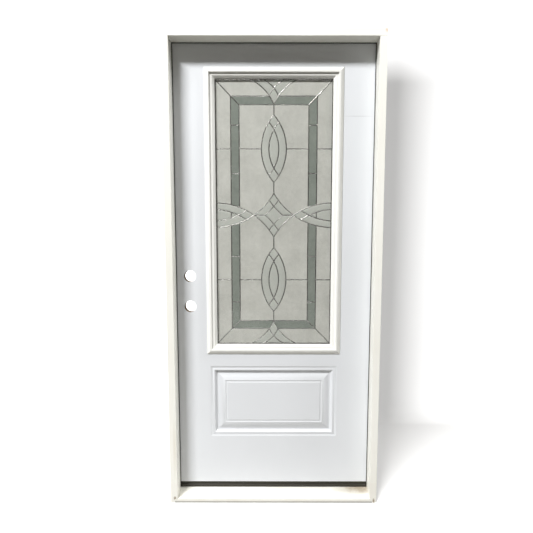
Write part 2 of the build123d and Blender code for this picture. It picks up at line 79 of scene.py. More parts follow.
camera_data = bpy.data.cameras.new("camera")
camera_data.sensor_fit = "HORIZONTAL"
camera_data.sensor_width = 36.0
camera_data.lens = camera_data.sensor_width * FOCAL_PIXELS / FRAME_PIXELS
camera_data.shift_x = 0.5 - CENTRE_PIXEL.x / FRAME_PIXELS
camera_data.shift_y = CENTRE_PIXEL.y / FRAME_PIXELS - 0.5
camera = bpy.data.objects.new("camera", camera_data)
look = Matrix.Rotation(math.pi / 2 + CAMERA_PITCH, 4, "X") @ Matrix.Rotation(CAMERA_ROLL, 4, "Z")
camera.matrix_world = Matrix.Translation(CAMERA_PLACE) @ look
bpy.context.scene.collection.objects.link(camera)
bpy.context.scene.camera = camera
print("lens", round(camera_data.lens, 2))

# %% [markdown]
# Light
#
# The head throws a hard-edged shadow on the leaf, as deep as the leaf is set back, and the left jamb a
# narrower one. So the main lamp is wide but low, and stands high, in front and to the left. A weak lamp at
# the right lifts the right jamb. The Standard view transform keeps colours as written.

# %% Lamps
AIM = Vector((0.0, 0.09, 1.15))
KEY_PLACE = Vector((-3.4, -4.9, 7.15))
KEY_SIZE = (2.5, 0.5)
KEY_POWER = 1000.0
SIDE_PLACE = Vector((4.8, -0.8, 4.2))
SIDE_SIZE = (1.2, 1.2)
SIDE_POWER = 160.0

scene = bpy.context.scene
scene.view_settings.view_transform = "Standard"


def add_lamp(name, place, aim, size, power):
    """Make a flat lamp, size wide and high, that stands at place and faces aim."""
    data = bpy.data.lights.new(name, "AREA")
    data.shape = "RECTANGLE"
    data.size, data.size_y = size
    data.energy = power
    lamp = bpy.data.objects.new(name, data)
    turn = (aim - place).to_track_quat("-Z", "Y").to_matrix().to_4x4()
    lamp.matrix_world = Matrix.Translation(place) @ turn
    scene.collection.objects.link(lamp)
    return lamp


key = add_lamp("key", KEY_PLACE, AIM, KEY_SIZE, KEY_POWER)
side = add_lamp("side", SIDE_PLACE, AIM, SIDE_SIZE, SIDE_POWER)
print("key lamp", KEY_POWER, "W, side lamp", SIDE_POWER, "W")

# %% [markdown]
# Finishes from nodes
#
# Each finish is a small tree of nodes round one Principled shader. The patterns read Object coordinates,
# which are metres here, so a grain of one millimetre is a noise scale of about a thousand. Writing the
# trees by hand is long, so there are a few short helpers: one adds a node, and the others add a noise,
# bands, a blend of two colours, a stain at a place, a bump, and a mix of two shaders. The simplest of them
# serve the world's nodes too.


# %% Node helpers
class Tree:
    """The nodes of a material or of the world, added by small steps."""

    def __init__(self, tree):
        self.tree = tree

    def add(self, kind, **settings):
        """Add a node and set its own properties."""
        node = self.tree.nodes.new(kind)
        for name, value in settings.items():
            setattr(node, name, value)
        return node

    def give(self, socket, value):
        """Give an input socket its value: a link from another socket, or a plain number or list."""
        if isinstance(value, bpy.types.NodeSocket):
            self.tree.links.new(value, socket)
        else:
            socket.default_value = value

    def fill(self, node, **inputs):
        """Give a node's inputs a value each, by name with underscores for spaces, and return the node."""
        for name, value in inputs.items():
            self.give(node.inputs[name.replace("_", " ")], value)
        return node

    def maths(self, operation, first, second):
        """One calculation with two numbers or sockets."""
        node = self.add("ShaderNodeMath", operation=operation)
        self.give(node.inputs[0], first)
        self.give(node.inputs[1], second)
        return node.outputs["Value"]

    def mix(self, share, first, second):
        """Mix two shaders by a share."""
        node = self.add("ShaderNodeMixShader")
        for socket, value in zip(node.inputs, (share, first, second)):
            self.give(socket, value)
        return node.outputs["Shader"]


class Finish(Tree):
    """A material with one Principled shader, which reads patterns at Object coordinates."""

    def __init__(self, name, colour, roughness, metallic=0.0, specular=0.5):
        self.material = bpy.data.materials.new(name)
        self.material.use_nodes = True
        super().__init__(self.material.node_tree)
        self.shader = self.tree.nodes["Principled BSDF"]
        self.fill(self.shader, Base_Color=(*colour, 1), Roughness=roughness, Metallic=metallic,
                  Specular_IOR_Level=specular)
        self.place = self.add("ShaderNodeTexCoord").outputs["Object"]
        self.height = None

    def stretched(self, scale):
        """Object coordinates scaled apart along X, Y and Z, so that a noise becomes a grain."""
        return self.fill(self.add("ShaderNodeMapping"), Vector=self.place, Scale=scale).outputs["Vector"]

    def along(self, axis):
        """The Object coordinate along X, Y or Z."""
        return self.fill(self.add("ShaderNodeSeparateXYZ"), Vector=self.place).outputs[axis]

    def noise(self, scale, detail=3.0, roughness=0.5, stretch=None):
        """A soft noise with the given number of lumps to a metre."""
        where = self.stretched(stretch) if stretch else self.place
        node = self.add("ShaderNodeTexNoise")
        self.fill(node, Vector=where, Scale=scale, Detail=detail, Roughness=roughness)
        return node.outputs["Fac"]

    def bands(self, axis, where, scale, distortion=0.0, detail=2.0):
        """Waves that follow each other along an axis, bent by a noise of the given distortion."""
        wave = self.add("ShaderNodeTexWave", wave_type="BANDS", bands_direction=axis)
        self.fill(wave, Vector=where, Scale=scale, Distortion=distortion, Detail=detail)
        return wave.outputs["Fac"]

    def between(self, value, low, high, start=0.0, end=1.0):
        """Map a value from low..high to start..end, held at both ends."""
        node = self.add("ShaderNodeMapRange")
        self.fill(node, Value=value, From_Min=low, From_Max=high, To_Min=start, To_Max=end)
        return node.outputs["Result"]

    def blend(self, first, second, share):
        """Blend two colours, or sockets that carry one, by a share."""
        node = self.add("ShaderNodeMix", data_type="RGBA")
        self.give(node.inputs[0], share)
        for slot, value in ((6, first), (7, second)):
            self.give(node.inputs[slot], value if isinstance(value, bpy.types.NodeSocket) else (*value, 1))
        return node.outputs[2]

    def spot(self, centre, radii, softness, strength=1.0):
        """The strength inside an ellipsoid at a place and nought outside, with a soft rim."""
        node = self.fill(self.add("ShaderNodeMapping"), Vector=self.place, Scale=[1 / r for r in radii],
                         Location=[-c / r for c, r in zip(centre, radii)])
        length = self.add("ShaderNodeVectorMath", operation="LENGTH")
        self.give(length.inputs[0], node.outputs["Vector"])
        return self.between(length.outputs["Value"], 1.0 - softness, 1.0 + softness, strength, 0.0)

    def colour(self, first, second, share):
        """Give the surface a blend of two colours, or sockets that carry one."""
        self.fill(self.shader, Base_Color=self.blend(first, second, share))

    def gloss(self, pattern, start, end):
        """Let the roughness go from start to end as a pattern goes from 0.3 to 0.7."""
        self.fill(self.shader, Roughness=self.between(pattern, 0.3, 0.7, start, end))

    def bump(self, socket, depth):
        """Raise the surface by a pattern, depth in metres. Several bumps add up."""
        node = self.fill(self.add("ShaderNodeBump"), Strength=1.0, Distance=depth, Height=socket)
        if self.height is not None:
            self.fill(node, Normal=self.height)
        self.height = node.outputs["Normal"]
        self.fill(self.shader, Normal=self.height)

    def surface(self, socket):
        """Use a socket in place of the Principled shader."""
        self.fill(self.tree.nodes["Material Output"], Surface=socket)


print("finish helpers ready")

# %% [markdown]
# The world
#
# A dim even world fills the shadows, and its warm tone makes them taupe. The camera sees it as plain white,
# also straight through glass: white goes to camera rays, and to transmission rays less the times they
# bounced before. So the door and what lies behind the panes get no light from the white.

# %% World
WORLD_COLOUR = (1.0, 0.94, 0.83)
WORLD_STRENGTH = 0.17

world = bpy.data.worlds.new("studio")
world.use_nodes = True
scene.world = world
sky = Tree(world.node_tree)
dim = sky.fill(sky.tree.nodes["Background"], Color=(*WORLD_COLOUR, 1), Strength=WORLD_STRENGTH)
white = sky.fill(sky.add("ShaderNodeBackground"), Color=(1, 1, 1, 1))
ray = sky.add("ShaderNodeLightPath").outputs
bounces = sky.maths("ADD", ray["Glossy Depth"], ray["Diffuse Depth"])
straight_glass = sky.maths("SUBTRACT", ray["Is Transmission Ray"], bounces)
seen = sky.maths("MAXIMUM", ray["Is Camera Ray"], straight_glass)
sky.fill(sky.tree.nodes["World Output"], Surface=sky.mix(seen, dim.outputs[0], white.outputs[0]))
print("world", WORLD_STRENGTH)

# %% [markdown]
# Painted wood and its kin
#
# A prehung frame comes primed and painted at the factory. Seen close, the paint follows the wood: shallow
# lines along the grain, small lumps of the brush or spray, and a tone that wanders a little. The grain runs
# up the jambs and across the head, so the same recipe is made again with the pattern stretched along
# another axis. Handling leaves faint grey rubs, a knot shows through low on the left jamb, a rust mark sits
# at the head's right end, and each composite foot has a small dark brown spot at its bottom corner.

# %% Frame finishes
CREAM = (0.93, 0.925, 0.87)
CREAM_SHADE = (0.89, 0.88, 0.81)
KNOT_TAN = (0.62, 0.53, 0.40)
FOOT_SPOT_BROWN = (0.36, 0.30, 0.22)
RUB_GREY = (0.66, 0.64, 0.58)
RUST = (0.70, 0.42, 0.22)


def painted_wood(name, grain, colour=CREAM, shade=CREAM_SHADE):
    """Cream paint over wood whose grain runs along the axis where the stretch is small."""
    paint = Finish(name, colour, 0.42)
    lines = paint.noise(220.0, detail=5.0, roughness=0.6, stretch=grain)
    clouds = paint.noise(3.5, detail=3.0)
    rubs = paint.noise(26.0, detail=4.0, roughness=0.7, stretch=grain)
    toned = paint.blend(colour, shade, paint.between(clouds, 0.35, 0.75))
    rubbed = paint.blend(toned, RUB_GREY, paint.between(rubs, 0.62, 0.82, 0.0, 0.35))
    paint.gloss(lines, 0.36, 0.5)
    paint.bump(lines, 0.00012)
    paint.bump(paint.noise(900.0, detail=2.0), 0.00004)
    return paint, rubbed


jamb_paint, jamb_tone = painted_wood("jamb_paint", (1.0, 1.0, 0.04))
low_knot = jamb_paint.spot((-0.455, 0.0, 0.26), (0.006, 0.02, 0.09), 0.8, strength=0.3)
jamb_paint.colour(jamb_tone, KNOT_TAN, low_knot)
head_paint, head_tone = painted_wood("head_paint", (0.04, 1.0, 1.0))
rust_mark = head_paint.spot((0.474, 0.0, 2.088), (0.006, 0.02, 0.008), 0.6, strength=0.5)
head_paint.colour(head_tone, RUST, rust_mark)
foot_paint, foot_tone = painted_wood("foot_paint", (1.0, 1.0, 0.12), (0.93, 0.92, 0.865), (0.88, 0.86, 0.79))
# Small dark brown spots at the bottom corner of each foot, by the ends of the sill's nose.
foot_corner_spots = foot_paint.maths("MAXIMUM", foot_paint.spot((-0.4585, 0.0, 0.022), (0.005, 0.02, 0.007), 0.6),
                              foot_paint.spot((0.4655, 0.0, 0.010), (0.004, 0.02, 0.010), 0.6))
foot_paint.colour(foot_tone, FOOT_SPOT_BROWN, foot_corner_spots)
print("frame finishes", [m.material.name for m in (jamb_paint, head_paint, foot_paint)])

# %% [markdown]
# Sill finishes
#
# The deck is a cream vinyl cover over a composite base. It is smooth, with fine drawn lines along its length
# and a brownish film of dirt in the right-hand corner, where water runs down the jamb. The bottom of its
# front lip is painted dark, a painted contact shadow where the lip meets the floor. The cap under the leaf
# is a dark bronze profile, ribbed lengthwise for grip.

# %% Sill and seal finishes
deck = Finish("sill_cover", (0.87, 0.86, 0.80), 0.38)
drawn = deck.noise(300.0, detail=3.0, stretch=(0.02, 1.0, 1.0))
film = deck.noise(14.0, detail=5.0, roughness=0.65)
corner = deck.spot((0.43, 0.078, 0.036), (0.115, 0.036, 0.03), 0.4)
dirt = deck.maths("MULTIPLY", corner, deck.between(film, 0.25, 0.5, 0.35, 1.0))
clean = deck.blend((0.87, 0.86, 0.80), (0.80, 0.77, 0.68), deck.between(film, 0.45, 0.8))
dirtied = deck.blend(clean, (0.42, 0.36, 0.28), dirt)
# Painted contact shadow: the lip's lowest few millimetres are blended to dark grey-brown.
deck.colour(dirtied, (0.20, 0.19, 0.17), deck.between(deck.along("Z"), 0.004, 0.008, 0.9, 0.0))
deck.gloss(film, 0.3, 0.5)
deck.bump(drawn, 0.00005)

base_board = Finish("sill_board", (0.46, 0.38, 0.28), 0.8)
fibres = base_board.noise(160.0, detail=5.0, roughness=0.7, stretch=(0.1, 1.0, 1.0))
base_board.colour((0.46, 0.38, 0.28), (0.30, 0.24, 0.17), fibres)
base_board.bump(fibres, 0.0003)

cap = Finish("sill_cap_bronze", (0.020, 0.018, 0.014), 0.42)
cap.bump(cap.bands("Y", cap.place, 60.0), 0.0004)
cap_wear = cap.noise(40.0, stretch=(0.1, 1.0, 1.0))
cap.colour((0.016, 0.015, 0.012), (0.040, 0.036, 0.026), cap_wear)

seal = Finish("seal_foam", (0.020, 0.020, 0.019), 0.62)
seal.bump(seal.noise(1400.0, detail=2.0), 0.00015)
seal.colour((0.016, 0.016, 0.015), (0.045, 0.044, 0.040), seal.noise(30.0, detail=4.0))

sweep = Finish("sweep_vinyl", (0.018, 0.017, 0.015), 0.48)
sweep.bump(sweep.noise(350.0, stretch=(0.03, 1.0, 1.0)), 0.0001)
sweep_wear = sweep.noise(24.0, stretch=(0.2, 1.0, 1.0))
sweep.colour((0.014, 0.014, 0.013), (0.055, 0.048, 0.028), sweep_wear)
print("sill finishes ready")

# %% [markdown]
# The leaf's skin and the lite's plastic
#
# The leaf is moulded fibreglass, painted a slightly blue white. At arm's length it is smooth, but it isn't
# glass: a fine orange peel breaks up the highlights, and a long soft waviness shows in grazing light. The
# lite frames are injection moulded, warmer in tone and a bit glossier. Raw pine shows at the leaf's edges.
# The lock block's wood is painted dark brown, a painted shade for the inside of the bores. Foam fills the
# leaf behind the skins.

# %% Leaf finishes
SKIN = (0.75, 0.77, 0.80)
skin = Finish("leaf_skin", SKIN, 0.4)
broad = skin.noise(2.2, detail=2.0)
scuff = skin.spot((0.372, 0.09, 1.757), (0.05, 0.03, 0.0022), 0.5, strength=0.55)
handled = skin.blend(SKIN, (0.72, 0.74, 0.765), skin.between(broad, 0.3, 0.7))
skin.colour(handled, (0.55, 0.56, 0.58), scuff)
skin.gloss(skin.noise(90.0, detail=4.0), 0.34, 0.46)
skin.bump(skin.noise(700.0, detail=2.0), 0.00006)
skin.bump(broad, 0.0012)

lite_plastic = Finish("lite_plastic", (0.88, 0.88, 0.85), 0.32)
lite_clouds = lite_plastic.noise(7.0, detail=4.0)
lite_plastic.colour((0.89, 0.89, 0.86), (0.85, 0.85, 0.82), lite_clouds)
lite_plastic.bump(lite_plastic.noise(1100.0, detail=2.0), 0.00003)

pine = Finish("raw_pine", (0.62, 0.45, 0.28), 0.7)
rings = pine.bands("X", pine.stretched((1.0, 1.0, 0.06)), 34.0, distortion=5.0, detail=3.0)
pine.colour((0.66, 0.49, 0.31), (0.45, 0.29, 0.15), rings)
pine.bump(rings, 0.0002)

# Painted shade: the lock block gets a dark wood colour so that the bores look shaded inside.
bore_wood_painted_shade = Finish("bored_block_painted_shade", (0.30, 0.22, 0.14), 0.8)
end_grain = bore_wood_painted_shade.noise(300.0, detail=4.0, roughness=0.7, stretch=(1.0, 0.15, 1.0))
bore_wood_painted_shade.colour((0.33, 0.245, 0.155), (0.16, 0.115, 0.07), end_grain)
bore_wood_painted_shade.bump(end_grain, 0.0003)

foam = Finish("core_foam", (0.80, 0.72, 0.45), 0.85)
cells = foam.fill(foam.add("ShaderNodeTexVoronoi"), Vector=foam.place, Scale=900.0).outputs["Distance"]
foam.bump(cells, 0.0004)
foam.colour((0.82, 0.75, 0.50), (0.66, 0.56, 0.33), cells)
print("leaf finishes ready")

# %% [markdown]
# Glass and metal
#
# The sealed unit has a clear pane on each side of the leaded panel. A clear pane must let the lamp through,
# so its shader turns transparent for shadow and diffuse rays. The field glass is granite-textured and
# milky, the border is a grey-green wavy glass, and the lenses, star and fans are smooth bevelled glass. The
# cames are dull dark metal with a rounded crown, which catches the lamp where it runs across its light.


# %% Glass and metal finishes
pane_glass = Finish("clear_glass", (0.985, 0.99, 0.985), 0.02)
pane_glass.fill(pane_glass.shader, Transmission_Weight=1.0, IOR=1.45)
clear = pane_glass.fill(pane_glass.add("ShaderNodeBsdfTransparent"), Color=(0.96, 0.965, 0.96, 1))
ray = pane_glass.add("ShaderNodeLightPath").outputs
open_ray = pane_glass.maths("MAXIMUM", ray["Is Shadow Ray"], ray["Is Diffuse Ray"])
pane_glass.surface(pane_glass.mix(open_ray, pane_glass.shader.outputs[0], clear.outputs[0]))


def leaded_glass(name, colour, dark, share, lumps, depth, roughness):
    """Milky glass: share of the light goes through, the rest is scattered by its textured face.

    Two sizes of cloud move its tone between colour and dark: wide ones of a hand's breadth, and a fine
    mottle. The face has the given number of lumps to a metre, depth high.
    """
    glass = Finish(name, colour, roughness)
    glass.fill(glass.shader, Transmission_Weight=share, IOR=1.3)
    clouds = glass.between(glass.noise(9.0, detail=5.0, roughness=0.6), 0.3, 0.7, 0.0, 0.6)
    mottle = glass.between(glass.noise(70.0, detail=4.0, roughness=0.6), 0.3, 0.7, 0.0, 0.4)
    glass.colour(colour, dark, glass.maths("ADD", clouds, mottle))
    glass.bump(glass.noise(lumps, detail=4.0, roughness=0.6), depth)
    return glass


field = leaded_glass("granite_glass", (0.63, 0.625, 0.587), (0.465, 0.463, 0.431),
                     share=0.05, lumps=420.0, depth=0.0005, roughness=0.45)
border = leaded_glass("border_glass", (0.275, 0.3, 0.268), (0.19, 0.211, 0.19),
                      share=0.05, lumps=120.0, depth=0.0008, roughness=0.25)
bevel = leaded_glass("bevel_glass", (0.56, 0.57, 0.53), (0.48, 0.49, 0.459),
                     share=0.08, lumps=60.0, depth=0.0003, roughness=0.12)

came = Finish("came_metal", (0.26, 0.25, 0.22), 0.3, metallic=1.0)
came_grime = came.noise(300.0, detail=4.0, roughness=0.6)
came.colour((0.46, 0.455, 0.435), (0.035, 0.033, 0.029), came.between(came_grime, 0.33, 0.62))
came.gloss(came_grime, 0.24, 0.32)
came.bump(came.noise(21.0, detail=1.0), 0.003)
came.bump(came.noise(700.0, detail=3.0), 0.00006)

spacer = Finish("spacer_metal", (0.55, 0.56, 0.57), 0.35, metallic=1.0)
spacer.bump(spacer.noise(900.0, stretch=(1.0, 1.0, 0.1)), 0.00005)
spacer.colour((0.60, 0.61, 0.62), (0.42, 0.43, 0.44), spacer.noise(60.0))

steel = Finish("hinge_steel", (0.62, 0.60, 0.56), 0.3, metallic=1.0)
brushed = steel.noise(900.0, detail=3.0, stretch=(1.0, 1.0, 0.05))
steel.gloss(brushed, 0.24, 0.42)
steel.colour((0.66, 0.64, 0.60), (0.50, 0.48, 0.44), steel.noise(35.0, detail=4.0))
steel.bump(brushed, 0.00003)
print("glass and metal finishes ready")

# %% [markdown]
# Two ways to make a piece
#
# Rigid pieces whose shape is right need only their edges eased, because no real edge is a knife edge and a
# thin highlight runs along each. Those are copies of the solid: its loose triangles are merged, flat ones
# are joined, and a Bevel modifier rounds what is left. Finer pieces are worked out with numpy as whole
# arrays of points, a profile carried along a path, and go into the mesh in one call.


# %% Mesh helpers
EASE_ANGLE = 40.0


def coat(obj, finish):
    """Give an object one finish all over."""
    obj.data.materials.clear()
    obj.data.materials.append(finish.material)


def show(obj, body, finish, replaced=()):
    """Hang a finished piece on its body, with its finish and the solids that it stands for."""
    coat(obj, finish)
    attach(obj, body)
    if replaced:
        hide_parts(*replaced)


def placed(name, mesh, sharp_angle):
    """Put a mesh in the scene, smooth but for its edges that are sharper than an angle in degrees."""
    mesh.polygons.foreach_set("use_smooth", np.ones(len(mesh.polygons), bool))
    mesh.set_sharp_from_angle(angle=math.radians(sharp_angle))
    obj = bpy.data.objects.new(name, mesh)
    scene.collection.objects.link(obj)
    return obj


def mesh_object(name, points, faces, sharp_angle=35.0):
    """Make an object from arrays: points in metres, and groups of faces as rows of point numbers."""
    mesh = bpy.data.meshes.new(name)
    mesh.from_pydata(points.reshape(-1, 3), [], [row for group in faces for row in group.tolist()])
    mesh.update()
    return placed(name, mesh, sharp_angle)


def face_outwards(obj):
    """Turn the faces of closed pieces outwards."""
    work = bmesh.new()
    work.from_mesh(obj.data)
    bmesh.ops.recalc_face_normals(work, faces=work.faces)
    work.to_mesh(obj.data)
    work.free()
    return obj


def grid_faces(rows, columns, wrap_rows=False, wrap_columns=False):
    """Quads between neighbours of a grid of points: corner (i, j) is point i * columns + j."""
    i = np.arange(rows if wrap_rows else rows - 1)[:, None]
    j = np.arange(columns if wrap_columns else columns - 1)[None, :]
    down, right = (i + 1) % rows, (j + 1) % columns
    corners = (i * columns + j, i * columns + right, down * columns + right, down * columns + j)
    return np.stack([c.ravel() for c in np.broadcast_arrays(*corners)], axis=1)


def tube_faces(rows, sides):
    """The side faces and the two end faces of a tube whose rows are rings of so many sides."""
    ends = np.array([np.arange(sides)[::-1], np.arange(sides) + (rows - 1) * sides])
    return grid_faces(rows, sides, wrap_columns=True), ends


def rounded(corners, radius, steps):
    """Round a closed outline: each corner becomes a quadratic curve from one side to the other.

    The curve leaves each side at the given radius from the corner, or at 0.45 of the shorter side where
    that is less, and its middle weight is the corner: (1 - t)^2 start + 2 t (1 - t) corner + t^2 end.
    """
    ways = [np.roll(corners, step, 0) - corners for step in (1, -1)]
    lengths = [np.linalg.norm(way, axis=1)[:, None] for way in ways]
    reach = np.minimum(np.minimum(*lengths) * 0.45, radius)
    start, end = (corners + way / length * reach for way, length in zip(ways, lengths))
    t = np.linspace(0, 1, steps)[None, :, None]
    curve = (1 - t) ** 2 * start[:, None] + 2 * t * (1 - t) * corners[:, None] + t**2 * end[:, None]
    return curve.reshape(-1, 2)


def merged_copy(node, name):
    """Copy a solid, merge it and join its flat triangles."""
    work = bmesh.new()
    work.from_mesh(nodes[node].data)
    bmesh.ops.remove_doubles(work, verts=work.verts, dist=1e-6)
    bmesh.ops.dissolve_limit(work, angle_limit=math.radians(0.5), verts=work.verts, edges=work.edges)
    mesh = bpy.data.meshes.new(name)
    work.to_mesh(mesh)
    work.free()
    return placed(name, mesh, EASE_ANGLE)


def eased_copy(node, name, width):
    """A merged copy with its edges rounded by a width."""
    obj = merged_copy(node, name)
    ease = obj.modifiers.new("eased edges", "BEVEL")
    ease.width = width
    ease.segments = 2
    ease.limit_method = "ANGLE"
    ease.angle_limit = math.radians(EASE_ANGLE)
    ease.harden_normals = True
    return obj


print("mesh helpers ready")

# %% [markdown]
# The frame
#
# Jambs, head and feet are planed stock with edges eased by about a millimetre, so copies of the solids with
# a bevel are the honest way. The joint between jamb and foot is only a hairline, and the bevel makes it show
# as the photograph has it.

# %% Jambs, head, feet and sill
FRAME_PIECES = (
    ("hinge_jamb", jamb_paint, 1.0), ("latch_jamb", jamb_paint, 1.0), ("head_jamb", head_paint, 1.0),
    ("hinge_jamb_foot", foot_paint, 0.7), ("latch_jamb_foot", foot_paint, 0.7), ("sill_deck", deck, 1.2),
    ("sill_cap", cap, 1.5), ("sill_base", base_board, 0.4),
)
for node, finish, width in FRAME_PIECES:
    show(eased_copy(node, node + "_eased", width * MM), "frame", finish, (node,))
print("frame pieces", len(FRAME_PIECES))

# %% [markdown]
# Seals
#
# A door seal is a foam bulb in a thin skin. Its section is a rounded bulb that stands past the stop's edge,
# so the dark line round the leaf has a soft highlight. It is carried up each jamb and along the head.


# %% Weatherstrips
NOSE_REACH = 0.7


def seal_section(low, high, nose_side):
    """A seal's outline seen along its run: a box from low to high with a fat round nose on one side.

    Points are (across, depth). The nose is half an ellipse: half the seal's depth to each side, and
    NOSE_REACH times that depth far.
    """
    depth = high[1] - low[1]
    turn = np.linspace(-math.pi / 2, math.pi / 2, 9)
    nose = np.stack([np.cos(turn) * depth * NOSE_REACH, np.sin(turn) * depth / 2], axis=1)
    inner = (low[0] if nose_side < 0 else high[0]) - nose_side * depth * NOSE_REACH
    outer = high[0] if nose_side < 0 else low[0]
    arc = np.stack([inner + nose_side * nose[:, 0], (low[1] + high[1]) / 2 + nose[:, 1]], axis=1)
    return np.vstack([arc, [[outer, high[1]], [outer, low[1]]]])


def prism(name, section, start, end, order):
    """Carry a section straight from start to end; order puts its two axes and the run on X, Y and Z."""
    points = np.stack([np.insert(section, 2, run, axis=1) for run in (start, end)])[:, :, order]
    return face_outwards(mesh_object(name, points, tube_faces(2, len(section))))


for node, nose_side in (("hinge_weatherstrip", -1), ("latch_weatherstrip", 1)):
    low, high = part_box(node)
    section = seal_section((low.x, low.y), (high.x, high.y), nose_side)
    show(prism(node + "_bulb", section, low.z, high.z, (0, 1, 2)), "frame", seal, (node,))
low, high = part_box("head_weatherstrip")
section = seal_section((low.z, low.y), (high.z, high.y), -1)
head_bulb = prism("head_weatherstrip_bulb", section, low.x, high.x, (2, 1, 0))
show(head_bulb, "frame", seal, ("head_weatherstrip",))
print("points round a seal", len(section))

# %% [markdown]
# The moulded skins
#
# A skin is one sheet pressed in a mould. Its flat part is a plate with four holes cut in it: the lite, the
# panel and the two bores. The panel is then a moulding carried round a rectangle with mitred corners, ending
# in the field. Its section is a shallow groove, a deep cove, a long slope back up and a last fine groove,
# rounded at every corner as pressed sheet is. Solidify gives the sheet its two millimetres. The foam core
# fits the solids' skins exactly, so its copy is squeezed to stay clear of this finer sheet.

# %% Skins
SKIN_THICKNESS = 2 * MM
PANEL_WIDTH, PANEL_HEIGHT = 590 * MM, 338 * MM
PANEL_MIDDLE = 460.8 * MM
LITE_HOLE_MARGIN = 6.6 * MM
BORE_RADIUS = 26.99 * MM
EMBOSS = [(0, 0), (8.5, 3.2), (17, 0.2), (19, 0.5), (29, 12), (33, 12.6),
          (42, 9.6), (68, 0.2), (73.5, 2.8), (79, 0.4), (80.5, 0.4)]
BEND_RADIUS, BEND_STEPS = 1.4 * MM, 5
CORE_SQUEEZE = 0.84
record_mounts = {m["name"]: m for m in frame["record"]["mounts"]}
bore_places = [record_mounts[n]["pos_m"] for n in ("lockset_bore", "deadbolt_bore")]


def rectangle_corners(width, height, middle_z):
    """The four corners of a rectangle that is centred on X, and the way inwards from each."""
    signs = np.array([(-1, -1), (1, -1), (1, 1), (-1, 1)], float)
    return signs * (width / 2, height / 2) + (0, middle_z), -signs


def box_outline(low, high, margin=0.0):
    """The four corners of a box seen from the front, each moved out by a margin."""
    return np.array([(low.x - margin, low.z - margin), (high.x + margin, low.z - margin),
                     (high.x + margin, high.z + margin), (low.x - margin, high.z + margin)])


def mitred_ring(outline, width, height, middle_z, face_y, outward):
    """Carry (inward, out) pairs round a rectangle: corner + inward * its way in, face_y + outward * out.

    The result is a grid of points, 4 corners by the outline's length.
    """
    corners, ways = rectangle_corners(width, height, middle_z)
    flat = corners[:, None, :] + ways[:, None, :] * outline[None, :, :1]
    y = np.broadcast_to(face_y + outward * outline[None, :, 1], flat.shape[:2])
    return np.stack([flat[:, :, 0], y, flat[:, :, 1]], axis=2)


def cut_plate(outer, holes, circles, y):
    """Triangulate a flat plate: its outline, less rectangular holes and (x, z, radius) circles."""
    turn = np.linspace(0, 2 * math.pi, 64, endpoint=False)
    loops = [outer, *holes]
    loops += [np.stack([x + r * np.cos(turn), z + r * np.sin(turn)], axis=1) for x, z, r in circles]
    starts = np.cumsum([0] + [len(loop) for loop in loops])
    points = np.vstack(loops)
    edges = [(int(a + k), int(a + (k + 1) % n)) for a, n in zip(starts, map(len, loops)) for k in range(n)]
    made = delaunay_2d_cdt([Vector(p) for p in points], edges, [], 1, 1e-7)
    corners = np.array([tuple(v) for v in made[0]])
    triangles = np.array(made[2])
    middle = corners[triangles].mean(axis=1)
    keep = np.ones(len(triangles), bool)
    for hole in holes:
        inside = (middle > hole.min(0)) & (middle < hole.max(0))
        keep &= ~inside.all(axis=1)
    for x, z, r in circles:
        keep &= np.hypot(middle[:, 0] - x, middle[:, 1] - z) > r
    return np.insert(corners, 1, y, axis=1), triangles[keep]


def moulded_skin(name, node, outward):
    """A whole skin: the cut plate, the panel's mitred moulding and its field, then given a thickness.

    The moulding's line is open, so its two ends stay sharp and only the corners between them are rounded.
    """
    low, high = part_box(node)
    face_y = low.y if outward < 0 else high.y
    lite = box_outline(*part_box("outer_pane"), LITE_HOLE_MARGIN)
    panel, _ = rectangle_corners(PANEL_WIDTH, PANEL_HEIGHT, PANEL_MIDDLE)
    circles = [(place[0], place[2], BORE_RADIUS) for place in bore_places]
    plate, triangles = cut_plate(box_outline(low, high), [lite, panel], circles, face_y)
    line = np.array(EMBOSS, float) * (MM, -MM)
    bends = rounded(line, BEND_RADIUS, BEND_STEPS)[BEND_STEPS:-BEND_STEPS]
    line = np.vstack([line[:1], bends, line[-1:]])
    ring = mitred_ring(line, PANEL_WIDTH, PANEL_HEIGHT, PANEL_MIDDLE, face_y, outward)
    ring_faces = grid_faces(4, len(line), wrap_rows=True)
    field_face = np.array([[k * len(line) + len(line) - 1 for k in range(4)]])
    points = np.vstack([plate, ring.reshape(-1, 3)])
    shift = len(plate)
    obj = mesh_object(name, points, [triangles, ring_faces + shift, field_face + shift], 25.0)
    number = np.arange(len(obj.data.polygons))
    obj.data.polygons.foreach_set("use_smooth", (number >= len(triangles)) & (number < number[-1]))
    work = bmesh.new()
    work.from_mesh(obj.data)
    bmesh.ops.remove_doubles(work, verts=work.verts, dist=1e-6)
    bmesh.ops.recalc_face_normals(work, faces=work.faces)
    if sum(f.normal.y * f.calc_area() for f in work.faces) * outward < 0:
        bmesh.ops.reverse_faces(work, faces=work.faces)
    work.to_mesh(obj.data)
    work.free()
    wall = obj.modifiers.new("sheet", "SOLIDIFY")
    wall.thickness = SKIN_THICKNESS
    wall.offset = -1.0
    return obj


foam_fill = eased_copy("foam_core", "foam_core_shaved", 0.4 * MM)
low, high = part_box("foam_core")
middle = Vector((0, (low.y + high.y) / 2, 0))
squeeze = Matrix.Scale(CORE_SQUEEZE, 4, (0, 1, 0))
foam_fill.data.transform(Matrix.Translation(middle) @ squeeze @ Matrix.Translation(-middle))
show(foam_fill, "door", foam, ("foam_core",))
for node, outward in (("exterior_skin", -1), ("interior_skin", 1)):
    piece = moulded_skin(node + "_moulded", node, outward)
    show(piece, "door", skin, (node,))
    print(node, "faces", len(piece.data.polygons))

# %% [markdown]
# The lite frames
#
# Two plastic frames clamp the glass unit between them. Their section starts with a thin lip on the leaf,
# rises by a bevel to a flat, steps down to a second flat and slopes to the glass. It is carried round the
# opening with mitred corners, as the moulding tool had them, and its edges are rounded by a millimetre.

